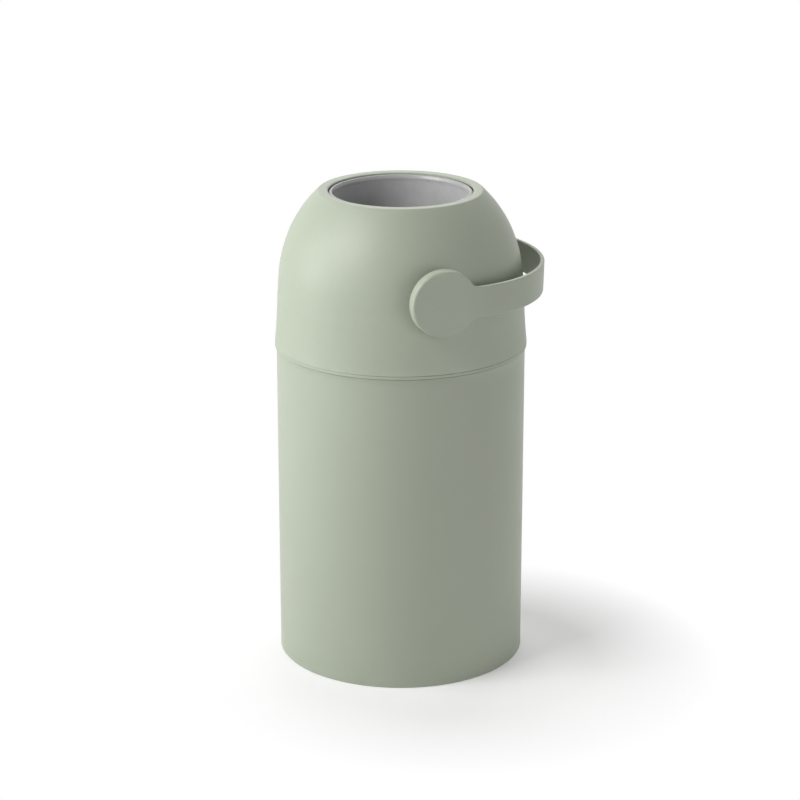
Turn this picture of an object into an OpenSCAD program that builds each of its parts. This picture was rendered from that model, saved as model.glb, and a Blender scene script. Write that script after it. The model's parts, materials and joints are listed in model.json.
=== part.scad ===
// Nappy bin with a domed head and a turning drum.
// Origin: on the bin's axis at the floor. +Z is up, the drum turns about a line along Y,
// the hub of the handle that faces the front is towards -Y and the grip rests towards +X.

/* [Body] */
// Outer radius of the steel sleeve
body_r = 132; // [120:1:150]
// Thickness of the sleeve's sheet
sleeve_wall = 1; // [0.6:0.1:1.6]
// Height of the sleeve's top edge above the floor
sleeve_top = 342.2; // [280:0.1:400]
// Clearance between the sleeve's hem and the floor
hem_lift = 1; // [0.5:0.1:2]
// Width of the hem that is turned in at the bottom
hem_width = 3; // [2:0.5:5]
// How far the sleeve's top flares out
flare_out = 1.3; // [0.6:0.1:2]
// Height of the flare
flare_height = 10; // [6:1:16]

/* [Base] */
// Height of the pan's floor above the ground
pan_lift = 6; // [4:0.5:12]
// Wall thickness of the pan
pan_wall = 2.4; // [1.6:0.2:3]
// Height of the pan's skirt above its floor
pan_skirt = 26; // [14:1:40]
// Number of ribs under the pan
pan_ribs = 12; // [6:1:18]
// Width of the foot ring
foot_width = 10; // [6:1:16]
// Depth of the groove in the foot ring
foot_groove = 1.5; // [0.5:0.5:3]

/* [Collar] */
// Height of the collar's band that shows at the seam
band_height = 3.2; // [2:0.1:6]
// How far the band stands out from the sleeve's radius
band_out = 1.8; // [1.6:0.1:2.6]
// Wall thickness of the collar
collar_wall = 2.4; // [1.8:0.2:3]
// Depth of the collar's skirt inside the sleeve
collar_depth = 24; // [20:1:34]
// Distance from the sleeve's outer face to the collar's throat
throat_inset = 15; // [14:0.5:18]
// Depth of the bag seat below the collar's top
bag_seat_depth = 23.5; // [20:0.5:26]
// Width of the bag seat
bag_seat_width = 9; // [6:0.5:12]
// Width of the gasket
gasket_width = 4; // [3:0.2:5]
// Height of the bag ring
bag_ring_height = 10; // [6:0.5:11]

/* [Hinge] */
// Radius of the hinge knuckles
knuckle_r = 4.5; // [4:0.1:5.5]
// Radius of the hinge pin
hinge_pin_r = 2; // [1.5:0.1:2.5]
// Width of the head's knuckle
head_knuckle_width = 22.8; // [16:0.2:30]
// Width of the whole hinge
hinge_width = 60; // [44:1:80]

/* [Head] */
// Wall thickness of the head
head_wall = 2.4; // [1.8:0.1:3]
// Gap at the seam between the collar and the head
seam_gap = 0.3; // [0.2:0.1:0.8]
// Height of the drum's pivot above the head's lower edge
pivot_rise = 78.3; // [74:0.1:84]
// Radial gap between the cup's rim and the head's opening
opening_gap = 1.4; // [1.2:0.1:2.5]
// How far the cup's rim lies below the head's top
rim_recess = 3.9; // [3.5:0.1:6]
// Radius of the rounded edge of the opening
lip_r = 3.1; // [2.6:0.1:3.5]
// Radius of the head's side, above the straight part
side_bend_r = 222; // [180:2:260]
// Radius of the upper shoulder
upper_bend_r = 80; // [70:1:90]
// Radius of the bend to the flat top
crown_bend_r = 42; // [34:1:46]
// Radius of the last bend at the flat top
brow_bend_r = 6; // [4:0.5:8]

/* [Drum] */
// Inner radius of the drum's tube, as a share of the body's radius
tube_share = 0.54; // [0.5:0.005:0.56]
// Wall thickness of the tube
tube_wall = 1.5; // [1.2:0.1:1.6]
// Distance from the pivot to the outer face of a rim, as a share of the body's radius
drum_share = 0.6325; // [0.6:0.0025:0.65]
// Wall thickness of the drum's ball
ball_wall = 2.2; // [1.6:0.1:3]
// Height of a rim's bevel
bevel_height = 4; // [3:0.1:5]
// Running gap between the ball and what lies round it
ball_gap = 2.43; // [2.2:0.01:3]
// Height of the piston
piston_height = 24; // [16:1:40]
// Thickness of the piston's plate
piston_plate = 2.4; // [1.6:0.2:4]

/* [Pivot] */
// Radius of the trunnion shafts
shaft_r = 14; // [12:0.5:15]
// Wall thickness of the bushes
bush_wall = 3; // [2:0.2:4]
// Running clearance of the shafts in the bushes, on the radius
shaft_clearance = 0.06; // [0.02:0.01:0.1]
// Radius of the trunnion flanges
flange_r = 24; // [22:0.5:26]
// Thickness of the trunnion flanges
flange_t = 3; // [2.4:0.2:4]
// Angle through which the drum turns between its stops
drum_turn = 180; // [150:5:180]

/* [Handle] */
// How far the outer face of a hub stands out from the sleeve's radius
hub_out = 12; // [11:0.5:18]
// Radius of a hub
hub_r = 34.8; // [30:0.2:38]
// Thickness of a hub
hub_t = 12; // [11:0.5:13]
// Radius of the rounded edge of a hub's face
hub_edge_r = 2; // [1:0.1:3]
// Height of the strap
strap_height = 31.8; // [24:0.2:38]
// Thickness of the strap
strap_t = 4.6; // [3.6:0.1:6]
// Length of the straight part of the strap
strap_straight = 7.5; // [4:0.5:16]
// Radius of the strap's rounded edges
strap_edge_r = 1.4; // [0.8:0.1:2]
// Angle by which the grip hangs below the hubs
handle_droop = 2.3; // [0:0.1:4]
// Radius of the fillet between a hub and the strap
hub_fillet_r = 4; // [2:0.5:8]

/* [Hidden] */
$fn = 96;

// Small overlap that joins solids of one piece
weld = 0.3;
// Gap between pieces that lie against each other
seat_gap = 0.3;
// Clearance of a screw in its hole, on the radius
screw_clearance = 0.06;

// Sizes that follow the body's radius
throat_r = body_r - throat_inset;
tube_r = body_r * tube_share;
drum_half = body_r * drum_share;
hub_face = body_r + hub_out;

// Collar and seam
sleeve_in = body_r - sleeve_wall;
collar_skirt_r = sleeve_in - seat_gap / 2;
collar_skirt_in = collar_skirt_r - collar_wall;
band_r = body_r + band_out;
band_low = sleeve_top + seat_gap + 0.2;
collar_top = band_low + band_height;
head_low = collar_top + seam_gap;
shelf_depth = 4.9;
shelf_top = collar_top - shelf_depth;
throat_out = throat_r + collar_wall - 0.1;
channel_wall = 1;
gasket_play = 0.2;
gasket_in = throat_out + gasket_play;
gasket_out = gasket_in + gasket_width;
channel_out = gasket_out + gasket_play + channel_wall;
bag_seat = collar_top - bag_seat_depth;
bag_seat_in = throat_r - bag_seat_width;
channel_top = collar_top - 0.4;

// Head outline: leaning angles of its bends, measured from the vertical
lean_low = 6.1;
lean_side = 2.8;
lean_shoulder = 10.8;
lean_upper = 36;
lean_crown = 48.5;
lean_brow = 66;
flare_bend_r = 560;
pivot_z = head_low + pivot_rise;
rim_r = tube_r + tube_wall + 1.2;
opening_r = rim_r + opening_gap;
head_top = pivot_z + drum_half + rim_recess;
crown_r = opening_r + lip_r;

// Inward and upward run of a bend of radius r from leaning angle a to b
function run_in(r, a, b) = r * (cos(a) - cos(b));
function run_up(r, a, b) = r * (sin(b) - sin(a));

// The straight part and the shoulder take up what the other bends leave
fixed_in = run_in(-flare_bend_r, lean_low, lean_side) + run_in(side_bend_r, lean_side, lean_shoulder)
         + run_in(upper_bend_r, lean_upper, lean_crown) + run_in(crown_bend_r, lean_crown, lean_brow)
         + run_in(brow_bend_r, lean_brow, 90);
fixed_up = run_up(-flare_bend_r, lean_low, lean_side) + run_up(side_bend_r, lean_side, lean_shoulder)
         + run_up(upper_bend_r, lean_upper, lean_crown) + run_up(crown_bend_r, lean_crown, lean_brow)
         + run_up(brow_bend_r, lean_brow, 90);
left_in = band_r - crown_r - fixed_in;
left_up = head_top - head_low - fixed_up;
bend_in = cos(lean_shoulder) - cos(lean_upper);
bend_up = sin(lean_upper) - sin(lean_shoulder);
shoulder_r = (left_in - left_up * tan(lean_side)) / (bend_in - bend_up * tan(lean_side));
straight_len = (left_up - shoulder_r * bend_up) / cos(lean_side);

// Points and leaning angles of one bend, as [r, z, lean], from a start point
function bend(start, r, a, b, steps) =
    [for (i = [1:steps]) let (t = a + (b - a) * i / steps)
        [start[0] - run_in(r, a, t), start[1] + run_up(r, a, t), t]];
function last(list) = list[len(list) - 1];
edge_start = [band_r, head_low, lean_low];
flare = bend(edge_start, -flare_bend_r, lean_low, lean_side, 4);
side_start = [last(flare)[0] - straight_len * sin(lean_side),
              last(flare)[1] + straight_len * cos(lean_side), lean_side];
side = bend(side_start, side_bend_r, lean_side, lean_shoulder, 5);
shoulder = bend(last(side), shoulder_r, lean_shoulder, lean_upper, 16);
upper = bend(last(shoulder), upper_bend_r, lean_upper, lean_crown, 8);
crown = bend(last(upper), crown_bend_r, lean_crown, lean_brow, 9);
brow = bend(last(crown), brow_bend_r, lean_brow, 90, 6);
head_line = concat([edge_start], flare, [side_start], side, shoulder, upper, crown, brow);
head_outer = [for (p = head_line) [p[0], p[1]]];
head_inner = [for (i = [len(head_line) - 1:-1:1]) let (p = head_line[i])
    [p[0] - head_wall * cos(p[2]), p[1] - head_wall * sin(p[2])]];
lip = [for (t = [105:15:180]) [crown_r + lip_r * cos(t), head_top - lip_r + lip_r * sin(t)]];

// Ball, seals and cradle, as radii from the pivot
ball_r = sqrt(rim_r * rim_r + drum_half * drum_half);
rim_lean = atan(rim_r / drum_half);
cradle_in = ball_r + ball_gap;
cradle_wall = 2;
cradle_out = cradle_in + cradle_wall;
seal_play = 0.35;
seal_r = ball_r + seal_play;
// Level of the cradle's flange, measured from the pivot, and its radius
flange_lift = 9.7;
flange_low = head_low + flange_lift - pivot_z;
cradle_flange_t = 2.5;
cradle_flange_play = 0.8;
cradle_flange_r = side_start[0] - head_wall - cradle_flange_play;
spout_in = rim_r + ball_gap;
spout_out = spout_in + cradle_wall;
spout_low = -drum_half - 2 * ball_gap;
cradle_screw_r = 1.7;
cradle_screw_ring = throat_r - 5;
cradle_screws_n = 6;
post_r = 4.5;
post_height = 22;

// Seal carrier, with angles from the vertical through the pivot
carrier_play = 1.65;
carrier_in = ball_r + carrier_play;
carrier_t = 2;
carrier_top_lean = rim_lean + 6.45;
carrier_low_lean = carrier_top_lean + 11.5;
carrier_flange_t = 2.4;
carrier_flange_low = carrier_in * cos(carrier_low_lean) - carrier_flange_t / 2 - 0.2;
carrier_flange_width = 8.5;
carrier_flange_r = carrier_in * sin(carrier_low_lean) + carrier_flange_width;
carrier_boss_r = 2.9;
carrier_screw_ring = carrier_flange_r - carrier_boss_r;
carrier_screws_n = 4;
carrier_screw_r = 1.3;

// Drum
rim_height = 5;
tube_out = tube_r + tube_wall;
tube_half = drum_half - rim_height - tube_wall;
rim_shoulder = tube_half + 0.2;
rim_in = tube_r - tube_wall;
ball_in = ball_r - ball_wall;
ball_end = drum_half - rim_height;
half_split = 0.1;
joint_flange_width = 7;
joint_flange_in = ball_in - joint_flange_width;
joint_flange_t = 3;
joint_screw_ring = ball_in - joint_flange_width / 2;
joint_screw_angles = [-32, 0, 32, 148, 180, 212];
joint_screw_r = 1.4;

// Trunnions, bushes and bosses, as distances from the bin's axis
flange_in_y = ball_r - flange_t;
flange_out_y = flange_in_y + flange_t;
pad_t = 5;
pad_r = flange_r + 3;
bush_in = shaft_r + shaft_clearance;
bush_out = bush_in + bush_wall;
boss_r = flange_r + 2;
boss_play = 3;
boss_in_y = flange_out_y + boss_play;
hub_back = hub_face - hub_t;
bush_flange_t = 1.2;
hub_play = 0.6;
boss_out_y = hub_back - bush_flange_t - hub_play;
bush_flange_r = bush_out + 4;
stop_t = boss_in_y - flange_out_y - 0.5;
stop_r = flange_r - 1;
stop_half_angle = 9;
stop_play = 1;
trunnion_bore_r = 6;
drive_r = 11;
drive_len = 5;
drive_clearance = 0.1;
handle_screw_r = 2.5;
handle_screw_head_r = 4.6;
handle_screw_len = 14;
flange_screw_r = 1.5;
flange_screw_head_r = 2.9;
flange_screw_ring = flange_r - 4.8;
web_t = 3;

// Handle
strap_out_r = hub_face;
hub_core_r = drive_r + 4;
hub_recess_r = hub_r - 3.2;
hub_skin = 3.6;
hub_ribs = 8;
hub_rib_t = 1.6;

// Hinge
hinge_reach = 0.4;
hinge_y = band_r + knuckle_r + hinge_reach;
hinge_z = head_low;
pin_clearance = 0.05;
knuckle_play = 0.3;

// Catch
tongue_width = 18;
tongue_t = 2.2;
tongue_play = 0.9;
tongue_out = collar_skirt_in - tongue_play;
tongue_reach = 11;
tongue_low = shelf_top - tongue_reach;
tongue_foot = 14;
tongue_screw_x = 5;
tongue_screw_y = channel_out - tongue_foot + 5;

// Piston
piston_play = 0.5;
piston_r = tube_r - piston_play;
piston_skirt = 2.2;
piston_seal_r = tube_r - seat_gap;
piston_seal_depth = 1.6;
piston_seal_height = 4;
piston_ribs = 6;
piston_low = -rim_shoulder + seat_gap;

sage = [0.66, 0.71, 0.64];
cup_grey = [0.52, 0.52, 0.52];
inner_white = [0.86, 0.86, 0.84];
rubber_black = [0.12, 0.12, 0.12];
steel = [0.75, 0.75, 0.76];

// ---- shared shapes ----

// A point at radius r and angle lean from the vertical through the pivot, above it
function above(r, lean) = [r * sin(lean), r * cos(lean)];
// The same, below the pivot
function below(r, lean) = [r * sin(lean), -r * cos(lean)];

// A cylinder along -Y between two distances from the axis, in front of the pivot
module y_bar(r, near, far, sides = 96) {
    translate([0, -near, 0]) rotate([90, 0, 0]) cylinder(r = r, h = far - near, $fn = sides);
}

// Puts a child at the pivot
module at_pivot() {
    translate([0, 0, pivot_z]) children();
}

// Puts a child at the pivot and turns it from the front to the rear
module at_rear_pivot() {
    at_pivot() mirror([0, 1, 0]) children();
}

// A ring about the axis with a rectangular section
module ring(inner, outer, low, high) {
    rotate_extrude() translate([inner, low]) square([outer - inner, high - low]);
}

// ---- bin ----

module body_sleeve() {
    flare_low = sleeve_top - flare_height;
    flare_steps = 5;
    flare_line = [for (i = [0:flare_steps]) let (t = i / flare_steps)
        [body_r + flare_out * t * t, flare_low + flare_height * t]];
    outer = concat([[body_r, hem_lift]], flare_line);
    inner = [for (i = [flare_steps:-1:0]) [flare_line[i][0] - sleeve_wall, flare_line[i][1]]];
    hem = [[sleeve_in, hem_lift + sleeve_wall], [body_r - hem_width, hem_lift + sleeve_wall],
           [body_r - hem_width, hem_lift]];
    color(sage) rotate_extrude() polygon(concat(outer, inner, hem));
}

module base_pan() {
    pan_r = sleeve_in - 0.3;
    skirt_low = hem_lift + sleeve_wall + seat_gap;
    hub_ring_r = 20;
    color(inner_white) {
        ring(0, pan_r, pan_lift, pan_lift + pan_wall);
        ring(pan_r - pan_wall, pan_r, skirt_low, pan_lift + pan_wall + pan_skirt);
        foot_stop = pan_r - pan_wall - 2 * seat_gap - foot_width;
        ring(foot_stop - pan_wall, foot_stop, skirt_low, pan_lift + weld);
        ring(hub_ring_r - 2, hub_ring_r, skirt_low + 1, pan_lift + weld);
        for (i = [0:pan_ribs - 1]) {
            rotate([0, 0, i * 360 / pan_ribs]) translate([hub_ring_r - 1, -1, skirt_low + 1])
                cube([foot_stop - hub_ring_r, 2, pan_lift - skirt_low - 1 + weld]);
        }
    }
}

module foot_ring() {
    outer = sleeve_in - 0.3 - pan_wall - seat_gap;
    inner = outer - foot_width;
    middle = (outer + inner) / 2;
    color(rubber_black) difference() {
        ring(inner, outer, 0, pan_lift);
        ring(middle - 1.5, middle + 1.5, -1, foot_groove);
    }
}

module collar() {
    section = [[band_r, band_low], [band_r, collar_top - 0.4], [band_r - 0.4, collar_top],
               [collar_skirt_in, collar_top], [collar_skirt_in, shelf_top], [channel_out, shelf_top],
               [channel_out, channel_top], [channel_out - channel_wall, channel_top],
               [channel_out - channel_wall, shelf_top], [throat_out, shelf_top], [throat_out, channel_top],
               [throat_r, channel_top], [throat_r, bag_seat], [bag_seat_in, bag_seat],
               [bag_seat_in, bag_seat - collar_wall], [throat_out, bag_seat - collar_wall],
               [throat_out, shelf_top - collar_wall], [collar_skirt_in, shelf_top - collar_wall],
               [collar_skirt_in, sleeve_top - collar_depth], [collar_skirt_r, sleeve_top - collar_depth],
               [collar_skirt_r, band_low]];
    ear_low = band_low + 0.1;
    ear_high = collar_top - 0.1;
    color(sage) difference() {
        union() {
            rotate_extrude() polygon(section);
            translate([-hinge_width / 2, collar_skirt_in + 0.5, ear_low])
                cube([hinge_width, hinge_y - collar_skirt_in - 0.5, ear_high - ear_low]);
            knuckle(-hinge_width / 2, hinge_width / 2);
        }
        // room for the head's knuckle
        translate([-head_knuckle_width / 2 - knuckle_play, band_r, ear_low - knuckle_r])
            cube([head_knuckle_width + 2 * knuckle_play, 3 * knuckle_r, 4 * knuckle_r]);
        hinge_bore(hinge_width);
        // slot for the catch tongue and the window that its nose looks into
        translate([-tongue_width / 2 - 1.2, -collar_skirt_in - weld, tongue_low])
            cube([tongue_width + 2.4, collar_skirt_in + weld - channel_out, 2 * collar_wall + tongue_reach]);
        translate([-tongue_width / 2 - 0.6, -collar_skirt_r - 1, tongue_low - 1])
            cube([tongue_width + 1.2, collar_wall + 2, 9]);
    }
}

// A hinge knuckle between two places along X
module knuckle(from, to) {
    translate([from, hinge_y, hinge_z]) rotate([0, 90, 0]) cylinder(r = knuckle_r, h = to - from);
}

module hinge_bore(width) {
    translate([-width / 2 - 1, hinge_y, hinge_z]) rotate([0, 90, 0])
        cylinder(r = hinge_pin_r + pin_clearance, h = width + 2);
}

module hinge_pin() {
    cap_t = 1.4;
    color(steel) {
        translate([-hinge_width / 2 - 0.1, hinge_y, hinge_z]) rotate([0, 90, 0])
            cylinder(r = hinge_pin_r, h = hinge_width + 0.2);
        for (s = [-1, 1]) {
            translate([s * (hinge_width / 2 + 0.1 + cap_t / 2), hinge_y, hinge_z]) rotate([0, 90, 0])
                cylinder(r = hinge_pin_r + 1.2, h = cap_t, center = true);
        }
    }
}

module collar_gasket() {
    top = pivot_z + flange_low - seat_gap;
    waist = 1.2;
    color(rubber_black) rotate_extrude() polygon([
        [gasket_in, shelf_top], [gasket_out, shelf_top], [gasket_out, channel_top + 1],
        [gasket_in + waist + 1, channel_top + 3.5], [gasket_out - 0.6, top - 1], [gasket_out - 1.2, top],
        [gasket_out - 2.2, top], [gasket_in + waist, channel_top + 4.5], [gasket_in, channel_top + 1]]);
}

module bag_ring() {
    outer = throat_r - 0.8;
    inner = bag_seat_in + 1;
    low = bag_seat + seat_gap;
    top = low + bag_ring_height;
    wall = 2.2;
    tab_width = 26;
    color(sage) {
        rotate_extrude() polygon([
            [inner, low], [inner + wall, low], [inner + wall, top - wall], [outer - wall, top - wall],
            [outer - wall, low], [outer, low], [outer, top - 1], [outer - 1, top], [inner + 1, top],
            [inner, top - 1]]);
        // two finger tabs
        intersection() {
            ring(inner + 0.5, inner + 0.5 + wall, top - wall, top + 2);
            translate([-tab_width / 2, -outer, top - wall]) cube([tab_width, 2 * outer, wall + 4]);
        }
    }
}

// ---- head ----

// The head's outer form as a full solid, used to trim what is moulded inside it
module head_envelope() {
    rotate_extrude() polygon(concat(head_outer, [[0, head_top], [0, head_low]]));
}

module head_shell() {
    lip_low = head_top - lip_r - 0.5;
    section = concat(head_outer, lip, [[opening_r, lip_low]], head_inner,
                     [[band_r - head_wall, head_low]]);
    post_low = pivot_z + flange_low + cradle_flange_t;
    web_low = head_low + 0.2;
    color(sage) difference() {
        union() {
            rotate_extrude() polygon(section);
            // bosses that hold the bushes
            at_pivot() boss();
            at_rear_pivot() boss();
            at_pivot() drum_stop();
            intersection() {
                head_envelope();
                union() {
                    // posts for the cradle's screws, each with a web to the wall
                    for (i = [0:cradle_screws_n - 1]) rotate([0, 0, i * 360 / cradle_screws_n]) {
                        translate([cradle_screw_ring, 0, post_low]) cylinder(r = post_r, h = post_height);
                        translate([cradle_screw_ring, -1, post_low])
                            cube([band_r - cradle_screw_ring - 2.6, 2, post_height]);
                    }
                    // bosses for the seal carrier's screws
                    for (i = [0:carrier_screws_n - 1]) rotate([0, 0, (i + 0.5) * 360 / carrier_screws_n])
                        translate([carrier_screw_ring, 0, pivot_z + carrier_flange_low + carrier_flange_t])
                            cylinder(r = carrier_boss_r, h = 20);
                }
            }
            knuckle(-head_knuckle_width / 2, head_knuckle_width / 2);
            translate([-head_knuckle_width / 2, band_r - head_wall + 0.6, web_low])
                cube([head_knuckle_width, hinge_y - band_r + head_wall - 0.6, web_t]);
        }
        at_pivot() y_bar(bush_out + screw_clearance, boss_in_y - 3, boss_out_y + 1);
        at_rear_pivot() y_bar(bush_out + screw_clearance, boss_in_y - 3, boss_out_y + 1);
        hinge_bore(head_knuckle_width);
        for (i = [0:cradle_screws_n - 1]) rotate([0, 0, i * 360 / cradle_screws_n])
            translate([cradle_screw_ring, 0, post_low - 1])
                cylinder(r = cradle_screw_r + screw_clearance, h = 12);
        for (i = [0:carrier_screws_n - 1]) rotate([0, 0, (i + 0.5) * 360 / carrier_screws_n])
            translate([carrier_screw_ring, 0, pivot_z + carrier_flange_low + carrier_flange_t - 1])
                cylinder(r = carrier_screw_r + screw_clearance, h = 5);
    }
}

// A boss in the head's wall, in front of the pivot
module boss() {
    y_bar(boss_r, boss_in_y, boss_out_y);
}

// A sector of a ring about the pivot line, between two angles from +X towards +Z
module y_sector(inner, outer, near, far, from, to) {
    translate([0, -near, 0]) rotate([90, 0, 0]) rotate([0, 0, from])
        rotate_extrude(angle = to - from) translate([inner, 0]) square([outer - inner, far - near]);
}

// The block under the shaft that stops the drum at both ends of its turn
module drum_stop() {
    low_stop = -stop_half_angle - stop_play;
    y_sector(bush_out + 0.2, stop_r + 1, boss_in_y - stop_t, boss_in_y + weld,
             drum_turn - low_stop, 360 + low_stop);
}

module seal_carrier() {
    steps = 6;
    span = carrier_low_lean - carrier_top_lean;
    outer_arc = [for (i = [0:steps]) above(carrier_in + carrier_t, carrier_low_lean - span * i / steps)];
    inner_arc = [for (i = [0:steps]) above(carrier_in, carrier_top_lean + span * i / steps)];
    flange_top = carrier_flange_low + carrier_flange_t;
    flange_section = [[inner_arc[steps][0], carrier_flange_low], [carrier_flange_r, carrier_flange_low],
                      [carrier_flange_r, flange_top], [outer_arc[0][0] + 0.6, flange_top]];
    color(inner_white) at_pivot() difference() {
        rotate_extrude() polygon(concat(flange_section, outer_arc, inner_arc));
        for (i = [0:carrier_screws_n - 1]) rotate([0, 0, (i + 0.5) * 360 / carrier_screws_n])
            translate([carrier_screw_ring, 0, carrier_flange_low - 1])
                cylinder(r = carrier_screw_r + screw_clearance, h = carrier_flange_t + 2);
    }
}

module top_seal() {
    steps = 4;
    first = rim_lean + 2.9;
    step_lean = carrier_top_lean - 0.3;
    last_lean = carrier_top_lean + 2.5;
    foot_r = carrier_in - seat_gap;
    back_r = carrier_in + carrier_t - seat_gap;
    lip_arc = [for (i = [0:steps]) above(seal_r, first + (last_lean - first) * i / steps)];
    foot_arc = [for (i = [0:steps]) above(foot_r, last_lean + (step_lean - last_lean) * i / steps)];
    back_arc = [for (i = [0:steps]) above(back_r, step_lean + (first - step_lean) * i / steps)];
    color(rubber_black) at_pivot() rotate_extrude() polygon(concat(lip_arc, foot_arc, back_arc));
}

module lower_seal() {
    steps = 5;
    first = rim_lean + 3;
    end = rim_lean + 8.5;
    lip_arc = [for (i = [0:steps]) below(seal_r, first + (end - first) * i / steps)];
    back_arc = [for (i = [0:steps]) below(cradle_in - seat_gap, end + (first - end) * i / steps)];
    color(rubber_black) at_pivot() rotate_extrude() polygon(concat(lip_arc, back_arc));
}

// One screw that points up, with its head's top face at the given level
module up_screw(r, head_r, head_t, length) {
    cylinder(r = r, h = length);
    translate([0, 0, -head_t]) difference() {
        cylinder(r = head_r, h = head_t);
        translate([0, 0, -1]) cylinder(r = r * 0.9, h = 1 + head_t * 0.5, $fn = 6);
    }
}

module carrier_screws() {
    color(steel) at_pivot() for (i = [0:carrier_screws_n - 1])
        rotate([0, 0, (i + 0.5) * 360 / carrier_screws_n])
            translate([carrier_screw_ring, 0, carrier_flange_low])
                up_screw(carrier_screw_r, 2.4, 1.6, carrier_flange_t + 3.6);
}

module drum_cradle() {
    steps = 8;
    flange_top = flange_low + cradle_flange_t;
    in_first = asin(spout_in / cradle_in);
    in_last = acos(-flange_top / cradle_in);
    out_first = asin(spout_out / cradle_out);
    out_last = acos(-flange_low / cradle_out);
    inner_arc = [for (i = [0:steps]) below(cradle_in, in_first + (in_last - in_first) * i / steps)];
    outer_arc = [for (i = [0:steps]) below(cradle_out, out_last + (out_first - out_last) * i / steps)];
    color(inner_white) at_pivot() difference() {
        union() {
            rotate_extrude() polygon(concat(inner_arc,
                [[cradle_flange_r, flange_top], [cradle_flange_r, flange_low]], outer_arc,
                [[spout_out, spout_low], [spout_in, spout_low]]));
            // stiffening ribs between the bowl and the flange
            for (i = [0:11]) rotate([0, 0, i * 30]) cradle_rib();
        }
        for (i = [0:cradle_screws_n - 1]) rotate([0, 0, i * 360 / cradle_screws_n])
            translate([cradle_screw_ring, 0, flange_low - 1])
                cylinder(r = cradle_screw_r + screw_clearance, h = cradle_flange_t + 2);
        for (s = [-1, 1]) translate([s * tongue_screw_x, -tongue_screw_y, flange_low - 1])
            cylinder(r = cradle_screw_r + screw_clearance, h = cradle_flange_t + 2);
        // notch that the catch tongue comes down through
        translate([-tongue_width / 2 - seat_gap, -tongue_out - 2, flange_low - 1])
            cube([tongue_width + 2 * seat_gap, tongue_t + 2 + seat_gap, cradle_flange_t + 2]);
    }
}

// A three-sided rib under the cradle's flange
module cradle_rib() {
    rib_t = 1.6;
    top_r = cradle_out * sin(acos(-flange_low / cradle_out));
    foot = below(cradle_out - cradle_wall / 4, rim_lean + 6.5);
    rotate([90, 0, 0]) translate([0, 0, -rib_t / 2]) linear_extrude(rib_t) polygon([
        [top_r - 1, flange_low + weld], [top_r + 9, flange_low + weld], foot]);
}

module cradle_screws() {
    head_t = 2.2;
    head_r = 3.2;
    color(steel) at_pivot() {
        for (i = [0:cradle_screws_n - 1]) rotate([0, 0, i * 360 / cradle_screws_n])
            translate([cradle_screw_ring, 0, flange_low])
                up_screw(cradle_screw_r, head_r, head_t, cradle_flange_t + 10);
        for (s = [-1, 1]) translate([s * tongue_screw_x, -tongue_screw_y, flange_low])
            up_screw(cradle_screw_r, 2.6, 1.6, tongue_t + cradle_flange_t + 1);
    }
}

module catch_tongue() {
    foot_low = pivot_z + flange_low + cradle_flange_t;
    foot_high = foot_low + tongue_t;
    nose = 0.5;
    foot_near = channel_out - tongue_foot;
    color(inner_white) difference() {
        rotate([90, 0, 90]) translate([0, 0, -tongue_width / 2]) linear_extrude(tongue_width) polygon([
            [-foot_near, foot_high], [-tongue_out, foot_high], [-tongue_out, tongue_low + 7],
            [-tongue_out - nose, tongue_low + 4.5], [-tongue_out - nose, tongue_low + 3],
            [-tongue_out, tongue_low], [-tongue_out + tongue_t, tongue_low],
            [-tongue_out + tongue_t, foot_low], [-foot_near, foot_low]]);
        for (s = [-1, 1]) translate([s * tongue_screw_x, -tongue_screw_y, foot_low - 1])
            cylinder(r = cradle_screw_r + screw_clearance, h = tongue_t + 2);
    }
}

// A flanged bush, in front of the pivot
module bush() {
    difference() {
        union() {
            y_bar(bush_out, boss_in_y, boss_out_y + weld);
            y_bar(bush_flange_r, boss_out_y, boss_out_y + bush_flange_t);
        }
        y_bar(bush_in, boss_in_y - 1, boss_out_y + bush_flange_t + 1);
    }
}

module bush_front() {
    color(inner_white) at_pivot() bush();
}

module bush_rear() {
    color(inner_white) at_rear_pivot() bush();
}

// ---- drum ----

// The front half of the drum's ball about the pivot, with its joint flange and trunnion pad
module drum_half_shell() {
    difference() {
        union() {
            difference() {
                sphere(r = ball_r, $fn = 120);
                sphere(r = ball_in, $fn = 120);
            }
            intersection() {
                sphere(r = ball_r - ball_wall / 2, $fn = 120);
                difference() {
                    y_bar(ball_r, half_split, half_split + joint_flange_t);
                    y_bar(joint_flange_in, half_split - 1, half_split + joint_flange_t + 1);
                }
            }
            intersection() {
                sphere(r = ball_r - ball_wall / 2, $fn = 120);
                y_bar(pad_r, flange_in_y - pad_t, ball_r);
            }
        }
        // the other half's side
        translate([-2 * ball_r, -half_split, -2 * ball_r]) cube(4 * ball_r);
        // open ends for the rims
        for (s = [-1, 1]) translate([0, 0, s * (ball_end + ball_r)]) cube(2 * ball_r, center = true);
        cylinder(r = tube_out + 3, h = 3 * ball_r, center = true);
        // flat seat and bores for the trunnion
        y_bar(flange_r + 0.3, flange_in_y, ball_r + 1);
        y_bar(trunnion_bore_r, flange_in_y - pad_t - 1, ball_r);
        for (a = [45:90:315]) translate([flange_screw_ring * cos(a), 0, flange_screw_ring * sin(a)])
            y_bar(flange_screw_r + screw_clearance, flange_in_y - pad_t - 1, flange_in_y + 1);
        for (a = joint_screw_angles)
            translate([joint_screw_ring * cos(a), 0, joint_screw_ring * sin(a)])
                y_bar(joint_screw_r + screw_clearance, 0, half_split + joint_flange_t + 1);
    }
}

module drum_front_half() {
    color(cup_grey) at_pivot() drum_half_shell();
}

module drum_rear_half() {
    color(cup_grey) at_rear_pivot() drum_half_shell();
}

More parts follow.
